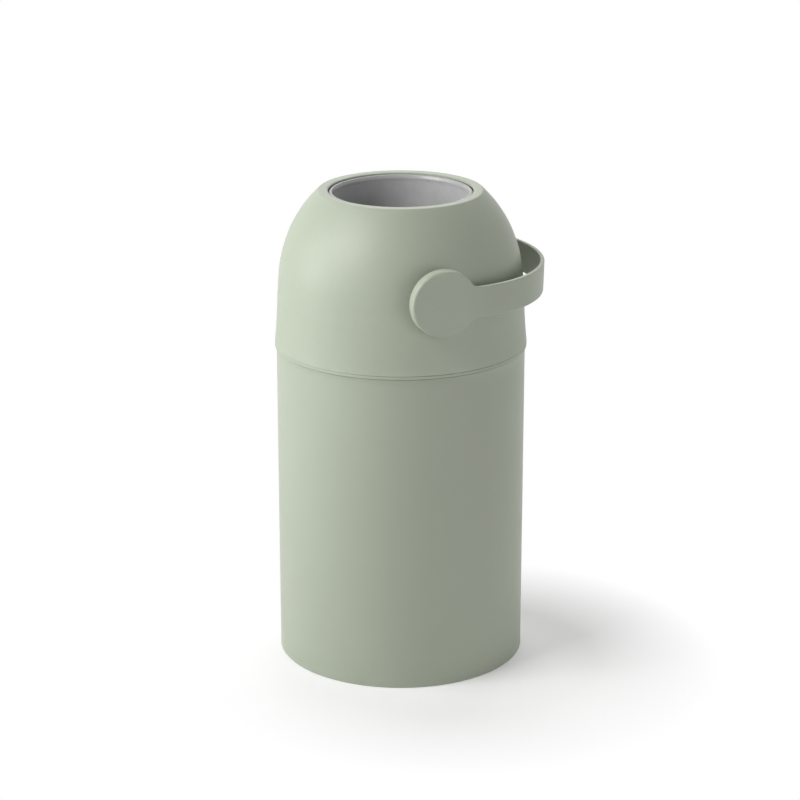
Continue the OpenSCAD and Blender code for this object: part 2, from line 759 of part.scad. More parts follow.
module drum_half_screws() {
    head_t = 1.8;
    depth = half_split + joint_flange_t;
    color(steel) at_pivot() for (a = joint_screw_angles)
        translate([joint_screw_ring * cos(a), 0, joint_screw_ring * sin(a)]) {
            y_bar(joint_screw_r, -depth - 1, depth);
            y_bar(joint_screw_r + 1.2, depth, depth + head_t);
        }
}

module drum_tube() {
    color(cup_grey) at_pivot() ring(tube_r, tube_out, -tube_half, tube_half);
}

// The upper rim of the drum's tube about the pivot
module rim() {
    edge_lean = atan(rim_r / drum_half);
    low_lean = acos(ball_end / ball_r);
    steps = 5;
    ball_arc = [for (i = [0:steps]) above(ball_r, edge_lean + (low_lean - edge_lean) * i / steps)];
    skirt_low = tube_half - 6;
    skirt_in = tube_out + 0.1;
    rotate_extrude() polygon(concat(
        [[rim_in, drum_half - bevel_height], [rim_r - 1.2, drum_half - 0.35], [rim_r - 0.6, drum_half]],
        ball_arc,
        [[tube_out + 2.6, ball_end], [tube_out + 2.2, skirt_low], [skirt_in, skirt_low],
         [skirt_in, rim_shoulder], [rim_in, rim_shoulder]]));
}

module rim_top() {
    color(cup_grey) at_pivot() rim();
}

module rim_bottom() {
    color(cup_grey) at_pivot() mirror([0, 0, 1]) rim();
}

// A trunnion in front of the pivot: flange, shaft and six-sided drive end
module trunnion() {
    head_seat = hub_back - 4;
    difference() {
        union() {
            y_bar(flange_r, flange_in_y, flange_out_y);
            y_bar(shaft_r, flange_in_y, hub_back);
            y_bar(drive_r, hub_back - 1, hub_back + drive_len, 6);
        }
        y_bar(trunnion_bore_r, flange_in_y - 1, head_seat);
        y_bar(handle_screw_r + screw_clearance, head_seat - 1, hub_back + drive_len + 1);
        for (a = [45:90:315]) translate([flange_screw_ring * cos(a), 0, flange_screw_ring * sin(a)]) {
            y_bar(flange_screw_r + screw_clearance, flange_in_y - 1, flange_out_y + 1);
            y_bar(flange_screw_head_r + screw_clearance, flange_out_y - 1.6, flange_out_y + 1);
        }
    }
}

module trunnion_front() {
    color(inner_white) at_pivot() union() {
        trunnion();
        // the tab that runs between the ends of the stop block
        y_sector(shaft_r - 1, stop_r, flange_out_y - weld, flange_out_y + stop_t,
                 -stop_half_angle, stop_half_angle);
    }
}

module trunnion_rear() {
    color(inner_white) at_rear_pivot() trunnion();
}

module trunnion_screw_set() {
    for (a = [45:90:315]) translate([flange_screw_ring * cos(a), 0, flange_screw_ring * sin(a)]) {
        y_bar(flange_screw_r, flange_in_y - pad_t, flange_out_y - 1.6);
        y_bar(flange_screw_head_r, flange_out_y - 1.6, flange_out_y - 0.1);
    }
}

module trunnion_screws() {
    color(steel) {
        at_pivot() trunnion_screw_set();
        at_rear_pivot() trunnion_screw_set();
    }
}

module handle_screw() {
    head_seat = hub_back - 4;
    y_bar(handle_screw_r, head_seat - 0.1, head_seat + handle_screw_len);
    difference() {
        y_bar(handle_screw_head_r, head_seat - 4, head_seat);
        y_bar(handle_screw_r, head_seat - 5, head_seat - 2, 6);
    }
}

module handle_screws() {
    color(steel) {
        at_pivot() handle_screw();
        at_rear_pivot() handle_screw();
    }
}

// The strap's section, with its outer face at x = 0
module strap_section(height) {
    e = strap_edge_r;
    translate([-strap_t, -height / 2 + e]) square([strap_t, height - 2 * e]);
    translate([-strap_t + e, -height / 2]) square([strap_t - 2 * e, height]);
    for (x = [-strap_t + e, -e]) {
        for (s = [-1, 1]) translate([x, s * (height / 2 - e)]) circle(r = e, $fn = 32);
    }
}

// The strap: a half ring between two short straight ends
module strap(height) {
    translate([strap_straight, 0, 0]) rotate([0, 0, -90]) rotate_extrude(angle = 180)
        translate([strap_out_r, 0]) strap_section(height);
    for (s = [-1, 1]) mirror([0, s > 0 ? 1 : 0, 0])
        translate([0, -strap_out_r, 0]) rotate([90, 0, 90]) linear_extrude(strap_straight + 0.01)
            mirror([1, 0]) strap_section(height);
}

// A hub's outer form, in front of the pivot, with a rounded edge round its face
module hub() {
    e = hub_edge_r;
    back_e = 0.6;
    translate([0, -hub_back, 0]) rotate([90, 0, 0]) rotate_extrude() {
        polygon([[0, 0], [hub_r - back_e, 0], [hub_r, back_e], [hub_r, hub_t - e], [hub_r - e, hub_t - e],
                 [hub_r - e, hub_t], [0, hub_t]]);
        translate([hub_r - e, hub_t - e]) circle(r = e, $fn = 48);
    }
}

// The coring in a hub's back, crossed by ribs
module hub_coring() {
    difference() {
        y_bar(hub_recess_r, hub_back - 1, hub_face - hub_skin);
        y_bar(hub_core_r, hub_back - 2, hub_face);
        for (i = [0:hub_ribs / 2 - 1]) rotate([0, (i + 0.5) * 360 / hub_ribs, 0])
            translate([-hub_r, -hub_face, -hub_rib_t / 2]) cube([2 * hub_r, hub_t + 2, hub_rib_t]);
    }
}

// Concave fillets where the strap leaves a hub
module hub_fillets() {
    f = hub_fillet_r;
    side_z = strap_height / 2 + f;
    centre_x = sqrt(pow(hub_r + f, 2) - side_z * side_z);
    touch = hub_r / (hub_r + f);
    intersection() {
        strap(strap_height + 4 * f);
        rotate([90, 0, 0]) linear_extrude(2 * hub_face) for (s = [-1, 1]) difference() {
            polygon([[centre_x - 6, s * (strap_height / 2 - 2)], [centre_x, s * (strap_height / 2 - 2)],
                     [centre_x, s * strap_height / 2], [centre_x * touch, s * side_z * touch],
                     [centre_x - 6, s * strap_height / 2]]);
            translate([centre_x, s * side_z]) circle(r = f, $fn = 48);
        }
    }
}

module handle() {
    color(sage) at_pivot() difference() {
        rotate([0, handle_droop, 0]) difference() {
            union() {
                strap(strap_height);
                hub();
                mirror([0, 1, 0]) hub();
                hub_fillets();
                mirror([0, 1, 0]) hub_fillets();
            }
            hub_coring();
            mirror([0, 1, 0]) hub_coring();
        }
        for (m = [0, 1]) mirror([0, m, 0]) {
            y_bar(drive_r + drive_clearance, hub_back - 1, hub_back + drive_len + 0.2, 6);
            y_bar(handle_screw_r + screw_clearance, hub_back, hub_back - 4 + handle_screw_len + 0.3);
        }
    }
}

// ---- piston ----

module piston() {
    half = piston_height / 2;
    groove = piston_seal_height / 2 + 0.1;
    groove_r = piston_seal_r - piston_seal_depth - 0.1;
    color(cup_grey) at_pivot() translate([0, 0, piston_low + half]) {
        difference() {
            union() {
                ring(0, piston_r, -piston_plate / 2, piston_plate / 2);
                rotate_extrude() polygon([
                    [piston_r - piston_skirt, -half], [piston_r - 0.8, -half], [piston_r, -half + 1.5],
                    [piston_r, half - 1.5], [piston_r - 0.8, half], [piston_r - piston_skirt, half]]);
                ring(groove_r - 2, piston_r - 0.5, -groove - 1.6, groove + 1.6);
                for (i = [0:piston_ribs - 1]) rotate([0, 0, i * 360 / piston_ribs])
                    translate([10, -1, -half / 2]) cube([piston_r - 11, 2, half]);
                ring(9, 11.5, -half / 2, half / 2);
            }
            ring(groove_r, piston_r + 1, -groove, groove);
        }
    }
}

module piston_seal() {
    half = piston_seal_height / 2;
    inner = piston_seal_r - piston_seal_depth;
    color(rubber_black) at_pivot() translate([0, 0, piston_low + piston_height / 2]) rotate_extrude()
        polygon([[inner, -half], [piston_seal_r - 0.6, -half], [piston_seal_r, -half / 2],
                 [piston_seal_r, half / 2], [piston_seal_r - 0.6, half], [inner, half]]);
}

body_sleeve();
base_pan();
foot_ring();
collar();
collar_gasket();
bag_ring();
hinge_pin();
head_shell();
seal_carrier();
top_seal();
carrier_screws();
drum_cradle();
lower_seal();
cradle_screws();
catch_tongue();
bush_front();
bush_rear();
drum_front_half();
drum_rear_half();
drum_half_screws();
drum_tube();
rim_top();
rim_bottom();
trunnion_front();
trunnion_rear();
trunnion_screws();
handle_screws();
handle();
piston();
piston_seal();
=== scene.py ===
import json
import math

import bmesh
import bpy
import numpy as np
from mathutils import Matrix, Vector

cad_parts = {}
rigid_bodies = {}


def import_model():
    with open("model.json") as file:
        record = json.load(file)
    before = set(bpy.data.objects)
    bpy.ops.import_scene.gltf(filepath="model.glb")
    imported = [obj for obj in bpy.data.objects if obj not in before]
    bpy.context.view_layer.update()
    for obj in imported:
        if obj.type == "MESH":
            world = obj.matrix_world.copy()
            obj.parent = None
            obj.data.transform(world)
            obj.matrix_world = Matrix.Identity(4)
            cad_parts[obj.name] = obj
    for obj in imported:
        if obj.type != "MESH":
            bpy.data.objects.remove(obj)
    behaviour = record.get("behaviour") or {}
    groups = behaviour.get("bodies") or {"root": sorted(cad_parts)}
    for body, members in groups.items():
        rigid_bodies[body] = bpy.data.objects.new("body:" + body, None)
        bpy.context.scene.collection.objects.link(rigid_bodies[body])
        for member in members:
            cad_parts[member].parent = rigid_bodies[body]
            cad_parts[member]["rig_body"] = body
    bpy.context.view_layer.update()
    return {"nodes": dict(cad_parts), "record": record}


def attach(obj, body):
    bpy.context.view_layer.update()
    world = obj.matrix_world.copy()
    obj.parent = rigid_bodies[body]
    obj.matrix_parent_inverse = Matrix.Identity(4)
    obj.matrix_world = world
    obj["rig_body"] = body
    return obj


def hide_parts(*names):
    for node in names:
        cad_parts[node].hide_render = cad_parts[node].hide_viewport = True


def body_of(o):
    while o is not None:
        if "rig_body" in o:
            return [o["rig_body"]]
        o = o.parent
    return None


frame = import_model()
nodes = frame["nodes"]
MM = 0.001

# ---------------------------------------------------------------- node helpers


def srgb(r, g, b):
    """A linear colour from 8-bit sRGB values."""
    out = []
    for v in (r, g, b):
        c = v / 255
        out.append(c / 12.92 if c <= 0.04045 else ((c + 0.055) / 1.055) ** 2.4)
    return (*out, 1.0)


class Tree:
    """A short way to write a material's node tree."""

    def __init__(self, name):
        self.material = bpy.data.materials.new(name)
        self.material.use_nodes = True
        self.nodes = self.material.node_tree.nodes
        self.links = self.material.node_tree.links
        self.nodes.clear()

    def add(self, kind, **inputs):
        node = self.nodes.new(kind)
        for key, value in inputs.items():
            self.put(node, key, value)
        return node

    def put(self, node, key, value):
        by_index = key[0] == "i" and key[1:].isdigit()
        socket = node.inputs[int(key[1:]) if by_index else key.replace("_", " ")]
        if hasattr(value, "links"):
            self.links.new(value, socket)
        elif hasattr(value, "outputs"):
            self.links.new(value.outputs[0], socket)
        else:
            socket.default_value = value

    def noise(self, coords, scale, detail=4.0, rough=0.55):
        node = self.add("ShaderNodeTexNoise", Scale=scale, Detail=detail, Roughness=rough)
        self.links.new(coords, node.inputs["Vector"])
        return node.outputs["Fac"]

    def scaled(self, coords, factors):
        node = self.add("ShaderNodeMapping")
        node.inputs["Scale"].default_value = factors
        self.links.new(coords, node.inputs["Vector"])
        return node.outputs["Vector"]

    def math(self, operation, a, b=0.0, clamp=False):
        node = self.nodes.new("ShaderNodeMath")
        node.operation = operation
        node.use_clamp = clamp
        self.put(node, "i0", a)
        self.put(node, "i1", b)
        return node.outputs[0]

    def spread(self, value, low, high, to_low=0.0, to_high=1.0):
        node = self.nodes.new("ShaderNodeMapRange")
        node.clamp = True
        for key, v in (("Value", value), ("From Min", low), ("From Max", high),
                       ("To Min", to_low), ("To Max", to_high)):
            self.put(node, key, v)
        return node.outputs[0]

    def mix(self, factor, a, b):
        node = self.nodes.new("ShaderNodeMix")
        node.data_type = "RGBA"
        for index, v in ((0, factor), (6, a), (7, b)):
            if hasattr(v, "links"):
                self.links.new(v, node.inputs[index])
            else:
                node.inputs[index].default_value = v
        return node.outputs[2]

    def bump(self, height, strength, distance, normal=None):
        node = self.add("ShaderNodeBump", Strength=strength, Distance=distance)
        self.links.new(height, node.inputs["Height"])
        if normal is not None:
            self.links.new(normal, node.inputs["Normal"])
        return node.outputs["Normal"]

    def finish(self, colour, rough, normal=None, **fixed):
        shader = self.nodes.new("ShaderNodeBsdfPrincipled")
        self.links.new(colour, shader.inputs["Base Color"])
        self.links.new(rough, shader.inputs["Roughness"])
        if normal is not None:
            self.links.new(normal, shader.inputs["Normal"])
        for key, value in fixed.items():
            shader.inputs[key.replace("_", " ")].default_value = value
        out = self.nodes.new("ShaderNodeOutputMaterial")
        self.links.new(shader.outputs[0], out.inputs[0])
        return self.material


def shade(colour, factor):
    return (*[min(1.0, c * factor) for c in colour[:3]], 1.0)


def moulded(name, colour, rough, grain=900.0, grain_depth=0.06, mottle=0.05, worn=1.18,
            dust=0.0, **fixed):
    """Moulded plastic: fine grain, faint flow mottling, rubbed edges and light scuffs."""
    t = Tree(name)
    coords = t.nodes.new("ShaderNodeTexCoord").outputs["Object"]
    geometry = t.nodes.new("ShaderNodeNewGeometry")
    broad = t.noise(coords, 9.0, 3.0)
    fine = t.noise(coords, 160.0, 5.0)
    tone = t.mix(t.spread(broad, 0.3, 0.7), shade(colour, 1 - mottle),
                 shade(colour, 1 + mottle * 0.6))
    tone = t.mix(t.spread(fine, 0.35, 0.65, 0.0, 0.10), tone, shade(colour, 0.86))
    edge = t.spread(geometry.outputs["Pointiness"], 0.515, 0.60)
    patchy = t.spread(t.noise(coords, 42.0, 6.0, 0.7), 0.42, 0.66)
    rubbed = t.math("MULTIPLY", t.math("MULTIPLY", edge, patchy), 0.5)
    tone = t.mix(rubbed, tone, shade(colour, worn))
    scuff_lines = t.noise(t.scaled(coords, (1.0, 1.0, 9.0)), 60.0, 8.0, 0.75)
    scuffs = t.spread(scuff_lines, 0.64, 0.72)
    tone = t.mix(t.math("MULTIPLY", scuffs, 0.10), tone, shade(colour, 1.25))
    if dust:
        settled = t.spread(t.noise(coords, 24.0, 8.0, 0.7), 0.5, 0.75)
        tone = t.mix(t.math("MULTIPLY", settled, dust), tone, srgb(205, 203, 198))
    roughness = t.spread(t.noise(coords, 35.0, 6.0, 0.6), 0.3, 0.7, rough - 0.04, rough + 0.05)
    roughness = t.math("ADD", roughness, t.math("MULTIPLY", scuffs, 0.07), True)
    grain_height = t.noise(coords, grain, 3.0, 0.6)
    normal = t.bump(grain_height, grain_depth, 0.0003)
    ripple = t.bump(t.noise(coords, 26.0, 2.0), 0.035, 0.002, normal)
    return t.finish(tone, roughness, ripple, **fixed)


def powder_coated(name, colour, rough):
    """Powder coat on sheet steel: orange peel, faint rolling lines and few scuffs."""
    t = Tree(name)
    coords = t.nodes.new("ShaderNodeTexCoord").outputs["Object"]
    broad = t.noise(coords, 6.0, 3.0)
    tone = t.mix(t.spread(broad, 0.3, 0.7), shade(colour, 0.975), shade(colour, 1.02))
    speck = t.noise(coords, 700.0, 3.0, 0.6)
    tone = t.mix(t.spread(speck, 0.3, 0.75, 0.0, 0.12), tone, shade(colour, 0.84))
    scuff_lines = t.noise(t.scaled(coords, (1.0, 1.0, 14.0)), 44.0, 9.0, 0.78)
    scuffs = t.spread(scuff_lines, 0.66, 0.74)
    tone = t.mix(t.math("MULTIPLY", scuffs, 0.12), tone, shade(colour, 1.22))
    # Darker towards the bottom, in patches, over the lowest 30 mm.
    low = t.nodes.new("ShaderNodeSeparateXYZ")
    t.links.new(coords, low.inputs[0])
    foot = t.spread(low.outputs["Z"], 0.0, 0.03, 1.0, 0.0)
    low_darkening = t.math("MULTIPLY", foot, t.spread(t.noise(coords, 30.0, 6.0, 0.7), 0.35, 0.7, 0.1, 0.5))
    tone = t.mix(t.math("MULTIPLY", low_darkening, 0.5), tone, shade(colour, 0.72))
    roughness = t.spread(t.noise(coords, 22.0, 6.0, 0.6), 0.3, 0.7, rough - 0.04, rough + 0.05)
    roughness = t.math("ADD", roughness, t.math("MULTIPLY", scuffs, 0.06), True)
    peel = t.noise(coords, 260.0, 2.0, 0.5)
    normal = t.bump(peel, 0.07, 0.0004)
    rolled = t.noise(t.scaled(coords, (1.0, 1.0, 0.05)), 60.0, 2.0)
    normal = t.bump(rolled, 0.02, 0.001, normal)
    return t.finish(tone, roughness, normal)


def rubber(name, colour):
    t = Tree(name)
    coords = t.nodes.new("ShaderNodeTexCoord").outputs["Object"]
    bloom = t.spread(t.noise(coords, 30.0, 7.0, 0.7), 0.4, 0.75)
    tone = t.mix(t.math("MULTIPLY", bloom, 0.3), colour, srgb(92, 91, 88))
    roughness = t.spread(t.noise(coords, 90.0, 5.0), 0.3, 0.7, 0.68, 0.86)
    return t.finish(tone, roughness, t.bump(t.noise(coords, 500.0, 3.0), 0.12, 0.0003))


def plated_steel(name):
    t = Tree(name)
    coords = t.nodes.new("ShaderNodeTexCoord").outputs["Object"]
    cloud = t.spread(t.noise(coords, 80.0, 6.0, 0.65), 0.3, 0.7)
    tone = t.mix(cloud, srgb(176, 178, 180), srgb(205, 206, 206))
    lines = t.noise(t.scaled(coords, (1.0, 22.0, 22.0)), 120.0, 4.0)
    roughness = t.spread(lines, 0.3, 0.7, 0.24, 0.42)
    return t.finish(tone, roughness, t.bump(lines, 0.05, 0.0002), Metallic=1.0)


SAGE = srgb(175, 183, 165)
sage_plastic = moulded("sage_plastic", SAGE, 0.46, grain=1000.0, grain_depth=0.05, mottle=0.02)
sage_coat = powder_coated("sage_coat", srgb(174, 182, 164), 0.44)
grey_plastic = moulded("grey_plastic", srgb(188, 188, 189), 0.46, grain=800.0,
                       grain_depth=0.05, mottle=0.03, Specular_IOR_Level=0.2)
rim_grey = moulded("rim_grey", srgb(182, 182, 183), 0.28, grain=800.0, grain_depth=0.05,
                   mottle=0.03)
# Painted shade: the ball halves show only through the gap round the cup's rim, and are made this
# dark so that the gap reads as shade.
ball_painted_shade = moulded("ball_painted_shade", srgb(74, 74, 75), 0.46, grain=800.0, grain_depth=0.06, mottle=0.04)
inner_plastic = moulded("inner_plastic", srgb(222, 221, 214), 0.50, mottle=0.03, worn=1.03,
                        dust=0.12)
bush_plastic = moulded("bush_plastic", srgb(236, 232, 220), 0.36, mottle=0.02, worn=1.02)
black_rubber = rubber("black_rubber", srgb(34, 34, 33))
steel = plated_steel("plated_steel")

SLOT_MATERIALS = {
    "painted_steel": sage_coat,
    "sage_plastic": sage_plastic,
    "grey_plastic": grey_plastic,
    "inner_plastic": inner_plastic,
    "bush_plastic": bush_plastic,
    "rubber": black_rubber,
    "steel": steel,
}
OWN_LOOKS = {"rim_top": rim_grey, "rim_bottom": rim_grey, "drum_front_half": ball_painted_shade,
             "drum_rear_half": ball_painted_shade}
node_slot = {part["node"]: part["material_slot"] for part in frame["record"]["subparts"]}


def dress(obj, material):
    obj.data.materials.clear()
    obj.data.materials.append(material)


for node_name, cad in nodes.items():
    dress(cad, SLOT_MATERIALS[node_slot[node_name]])

# ---------------------------------------------------------------- smooth copies of CAD nodes


def stand_in(node_name, mesh, angle=32.0):
    """An object that stands for a CAD node, with its shallow edges shaded smooth."""
    obj = bpy.data.objects.new(node_name + "_skin", mesh)
    bpy.context.scene.collection.objects.link(obj)
    dress(obj, OWN_LOOKS.get(node_name, SLOT_MATERIALS[node_slot[node_name]]))
    mesh.shade_smooth()
    mesh.set_sharp_from_angle(angle=math.radians(angle))
    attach(obj, body_of(nodes[node_name])[0])
    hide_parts(node_name)
    return obj


def smooth_copy(node_name, reshape=None, extra=None, weld=0.00001):
    """A copy of a CAD node, which may be reshaped point by point and joined by another mesh."""
    mesh = nodes[node_name].data.copy()
    bm = bmesh.new()
    bm.from_mesh(mesh)
    bmesh.ops.remove_doubles(bm, verts=bm.verts, dist=weld)
    bm.to_mesh(mesh)
    bm.free()
    for attribute in ("custom_normal", "sharp_face", "sharp_edge"):
        found = mesh.attributes.get(attribute)
        if found is not None:
            mesh.attributes.remove(found)
    if reshape is not None:
        points = np.empty(len(mesh.vertices) * 3, dtype=np.float32)
        mesh.vertices.foreach_get("co", points)
        points = reshape(points.reshape(-1, 3).astype(float))
        mesh.vertices.foreach_set("co", points.astype(np.float32).ravel())
        mesh.update()
    if extra is not None:
        bm = bmesh.new()
        bm.from_mesh(mesh)
        bmesh.ops.remove_doubles(bm, verts=bm.verts, dist=weld)
        bmesh.ops.dissolve_degenerate(bm, edges=bm.edges, dist=weld)
        bm.from_mesh(extra)
        bm.to_mesh(mesh)
        bm.free()
    return stand_in(node_name, mesh)


def lathe(name, section, segments=192):
    """A mesh from a closed section of (r, z) points in metres, turned about the axis."""
    count = len(section)
    turns = [2 * math.pi * k / segments for k in range(segments)]
    points = [(r * math.cos(a), r * math.sin(a), z) for a in turns for r, z in section]
    faces = []
    for k in range(segments):
        here, there = k * count, (k + 1) % segments * count
        faces += [(here + i, there + i, there + (i + 1) % count, here + (i + 1) % count)
                  for i in range(count)]
    mesh = bpy.data.meshes.new(name)
    mesh.from_pydata(points, [], faces)
    bm = bmesh.new()
    bm.from_mesh(mesh)
    bmesh.ops.recalc_face_normals(bm, faces=bm.faces)
    bm.to_mesh(mesh)
    bm.free()
    return mesh


# The head's outline, fitted more closely to the photograph than the CAD's. All in millimetres.
BAND_R, HEAD_LOW, HEAD_WALL, FLARE_R = 133.8, 346.2, 2.4, -560.0
PIVOT_Z = 424.5


def head_section(leans, radii, crown_r, head_top, lip):
    """The head's closed section: tangent bends up the outside, the lip, then down the inside."""
    low, side, shoulder, upper, crown, brow = leans
    side_r, upper_r, crown_bend_r, brow_r = radii
    bends = [(FLARE_R, low, side, 4), (side_r, side, shoulder, 5), (None, shoulder, upper, 16),
             (upper_r, upper, crown, 8), (crown_bend_r, crown, brow, 9), (brow_r, brow, 90.0, 6)]

    def run(radius, a, b):
        a, b = math.radians(a), math.radians(b)
        return radius * (math.cos(a) - math.cos(b)), radius * (math.sin(b) - math.sin(a))

    inward = BAND_R - crown_r - sum(run(r, a, b)[0] for r, a, b, n in bends if r)
    upward = head_top - HEAD_LOW - sum(run(r, a, b)[1] for r, a, b, n in bends if r)
    unit_in, unit_up = run(1.0, shoulder, upper)
    tilt = math.tan(math.radians(side))
    shoulder_r = (inward - upward * tilt) / (unit_in - unit_up * tilt)
    straight = (upward - shoulder_r * unit_up) / math.cos(math.radians(side))
    line = [(BAND_R, HEAD_LOW, math.radians(low))]
    for radius, a, b, steps in bends:
        r0, z0, _ = line[-1]
        for i in range(1, steps + 1):
            t = a + (b - a) * i / steps
            dr, dz = run(radius or shoulder_r, a, t)
            line.append((r0 - dr, z0 + dz, math.radians(t)))
        if radius == FLARE_R:
            r0, z0, t = line[-1]
            line.append((r0 - straight * math.sin(t), z0 + straight * math.cos(t), t))
    inner = [(r - HEAD_WALL * math.cos(t), z - HEAD_WALL * math.sin(t)) for r, z, t in line[:0:-1]]
    section = [(r, z) for r, z, t in line] + lip + inner + [(BAND_R - HEAD_WALL, HEAD_LOW)]
    return np.array(section) * MM


PACKED_LIP = [(78.48 + 3.1 * math.cos(math.radians(t)), 508.79 + 3.1 * math.sin(math.radians(t)))
              for t in range(105, 181, 15)] + [(75.38, 508.29)]
LIP_TOP, LIP_IN, LIP_BEND = 509.7, 76.3, 4.0
SEEN_LIP = [(LIP_IN + LIP_BEND * (math.sin(math.radians(41)) - math.sin(math.radians(t))),
             LIP_TOP - LIP_BEND * (1 - math.cos(math.radians(t)))) for t in (0, 9, 18, 27, 35, 41)]
SEEN_LIP.append((LIP_IN, SEEN_LIP[-1][1] - 1.4))
packed_section = head_section((6.1, 2.8, 10.8, 36, 48.5, 66), (222, 80, 42, 6), 78.4816,
                              511.89, PACKED_LIP)
seen_section = head_section((6.1, 3.0, 22.5, 35, 46, 49), (148, 140, 20, 3.2), 84.8,
                            LIP_TOP, SEEN_LIP)
OUTER_COUNT = len(packed_section) // 2 + 4
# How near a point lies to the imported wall's section to be moved, how deep its outer and inner
# sides then lie below the seen outline, and the least lean from the pivot, in degrees
WALL_NEAR, OUTER_DEPTH, INNER_DEPTH, LEAST_LEAN = 0.03, 1.25, 1.85, 43.4


def under_the_skin(points):
    """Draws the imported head's wall into the wall that is turned from the seen section."""
    r, z = np.hypot(points[:, 0], points[:, 1]), points[:, 2]
    place = np.stack([r, z], 1)
    run = np.roll(packed_section, -1, 0) - packed_section
    share = (((place[:, None] - packed_section) * run).sum(2) / (run * run).sum(1)).clip(0, 1)
    off = np.linalg.norm(place[:, None] - packed_section - share[..., None] * run, axis=2)
    nearest = off.argmin(1)
    on_wall = off[np.arange(len(points)), nearest] < WALL_NEAR * MM
    centre = PIVOT_Z * MM
    top = int(seen_section[:, 1].argmax()) + 2
    lean_of = np.arctan2(seen_section[:top, 0], seen_section[:top, 1] - centre)
    reach_of = np.hypot(seen_section[:top, 0], seen_section[:top, 1] - centre)
    lean = np.maximum(np.arctan2(r, z - centre), math.radians(LEAST_LEAN))
    depth = np.where(nearest < OUTER_COUNT, OUTER_DEPTH, INNER_DEPTH) * MM
    reach = np.interp(lean, lean_of[::-1], reach_of[::-1]) - depth
    r = np.where(on_wall, reach * np.sin(lean), r)
    z = np.where(on_wall, centre + reach * np.cos(lean), z)
    turn = np.arctan2(points[:, 1], points[:, 0])
    return np.stack([r * np.cos(turn), r * np.sin(turn), z], 1)


FLANGE_R, HEM_TOP, HEM_DROP = 105.2, 2.5, 0.5


def narrower_flange(points):
    """Keeps the seal carrier's flange clear of the head's inside."""
    reach = np.hypot(points[:, 0], points[:, 1])
    points[:, :2] *= np.minimum(1.0, FLANGE_R * MM / reach)[:, None]
    return points


def lower_hem(points):
    """Brings the sleeve's lower edge closer to the floor."""
    points[points[:, 2] < HEM_TOP * MM, 2] -= HEM_DROP * MM
    return points


# The cup's rim: its inner wall carries the tube's on, then a soft edge, a short slope, a
# rounded top, and the ball's own curve down to the ball's end
BALL_R, BALL_END, RIM_IN, RIM_LOW = 111.55, 78.49, 71.16, 77.0
EDGE_R, WALL_TOP, TOP_R, TOP_AT = 0.9, 80.0, 1.3, (73.2, 82.08)


def arc(centre, radius, degrees):
    return [(centre[0] + radius * math.cos(math.radians(t)),
             centre[1] + radius * math.sin(math.radians(t))) for t in degrees]


RIM = [(RIM_IN, RIM_LOW)] + arc((RIM_IN + EDGE_R, WALL_TOP), EDGE_R, (180, 170, 160, 150))
RIM += arc(TOP_AT, TOP_R, range(150, 59, -10)) + [(74.15, 83.12)]
first, last = math.atan2(74.45, 83.0), math.acos(BALL_END / BALL_R)
for i in range(7):
    lean = first + (last - first) * i / 6
    RIM.append((BALL_R * math.sin(lean), BALL_R * math.cos(lean)))
RIM += [(75.38, 78.49), (74.98, 70.99), (72.88, 70.99), (72.88, RIM_LOW)]

RESHAPED = {"head_shell": under_the_skin, "seal_carrier": narrower_flange, "body_sleeve": lower_hem}
OWN = ("rim_top", "rim_bottom", "handle")
for node_name in sorted(nodes):
    if node_name not in OWN:
        skin = lathe("head_wall", seen_section, 256) if node_name == "head_shell" else None
        smooth_copy(node_name, RESHAPED.get(node_name), skin)
for node_name, side in (("rim_top", 1), ("rim_bottom", -1)):
    stand_in(node_name, lathe(node_name, [(r * MM, (PIVOT_Z + side * z) * MM) for r, z in RIM]))

# ---------------------------------------------------------------- handle

# The strap rolled out flat: u runs along its outer face from the front hub's centre to the rear
# one's, v is the height, and d is the depth below the outer face. All in millimetres.
HUB_R, HUB_T, HUB_FACE, STRAP_T = 35.1, 12.0, 144.0, 4.6
STRAP_HALF, STRAP_STRAIGHT, FILLET_R = 16.5, 7.5, 11.0
HUB_EDGE, STRAP_EDGE, BACK_EDGE, SUPPORT = 2.6, 1.5, 1.2, 0.3
HUB_WALL, HUB_WALL_TOP, CORE_R, CORE_TOP, SOCKET_R, SOCKET_T = 3.2, 3.3, 15.0, 4.3, 11.2, 5.2
BEND_STEP, BEND_START = 2.9, 1.37
HANDLE_DROOP, HANDLE_DROP = math.radians(1.7), 1.9
ROLLED = 2 * STRAP_STRAIGHT + math.pi * HUB_FACE


def rolled_outline():
    """Points, outward normals and edge radii along the upper half of the outline."""
    out = []
    side_v = STRAP_HALF + FILLET_R
    side_u = math.sqrt((HUB_R + FILLET_R) ** 2 - side_v ** 2)
    touch = math.atan2(side_v, side_u)
    for k in range(61):
        t = math.pi + (touch - math.pi) * k / 60
        out.append((HUB_R * math.cos(t), HUB_R * math.sin(t), math.cos(t), math.sin(t), HUB_EDGE))
    for k in range(1, 15):
        t = touch + (math.pi / 2 - touch) * k / 14
        edge = HUB_EDGE + (STRAP_EDGE - HUB_EDGE) * k / 14
        out.append((side_u - FILLET_R * math.cos(t), side_v - FILLET_R * math.sin(t),
                    math.cos(t), math.sin(t), edge))
    steps = 64
    for k in range(1, steps + 1):
        out.append((side_u + (ROLLED / 2 - side_u) * k / steps, STRAP_HALF, 0.0, 1.0, STRAP_EDGE))
    mirrored = [(ROLLED - u, v, -nu, nv, e) for u, v, nu, nv, e in out[-2::-1]]
    return out + mirrored


